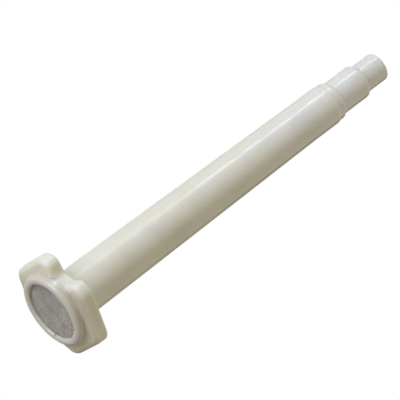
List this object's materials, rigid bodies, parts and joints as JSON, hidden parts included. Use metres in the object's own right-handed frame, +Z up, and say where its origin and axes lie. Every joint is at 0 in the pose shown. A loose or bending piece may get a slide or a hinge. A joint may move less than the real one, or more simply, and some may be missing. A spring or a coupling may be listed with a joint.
{
  "type": "fuel pickup pipe",
  "caption": "Moulded fuel pickup pipe with a hexagonal foot, a fine wire strainer, a ball foot valve inside and a stepped push-in spigot.",
  "frame": {"origin": "centre of the lower face of the screen ring, the pipe's lowest face in service", "axes": "+Z up the pipe's axis towards the spigot; -Y out of the hexagon flat that has the scallop; +X towards a hexagon corner"},
  "size_m": [0.0158, 0.0142, 0.0634],
  "materials": {
    "natural_plastic": "satin, natural off-white, slightly translucent",
    "ring_plastic": "satin, off-white",
    "seat_plastic": "satin, off-white",
    "ball_steel": "polished",
    "screen_wire": "fine drawn wire"
  },
  "bodies": {
    "pipe": {"pipe_body": "natural_plastic", "valve_seat": "seat_plastic", "screen_ring": "ring_plastic", "screen_warp_wires": "screen_wire", "screen_weft_wires": "screen_wire"},
    "ball": {"check_ball": "ball_steel"}
  },
  "joints": [
    {"name": "ball_lift", "type": "slide", "parent": "pipe", "child": "ball", "axis": [0, 0, 1], "range_m": [0, 0.0015]}
  ]
}
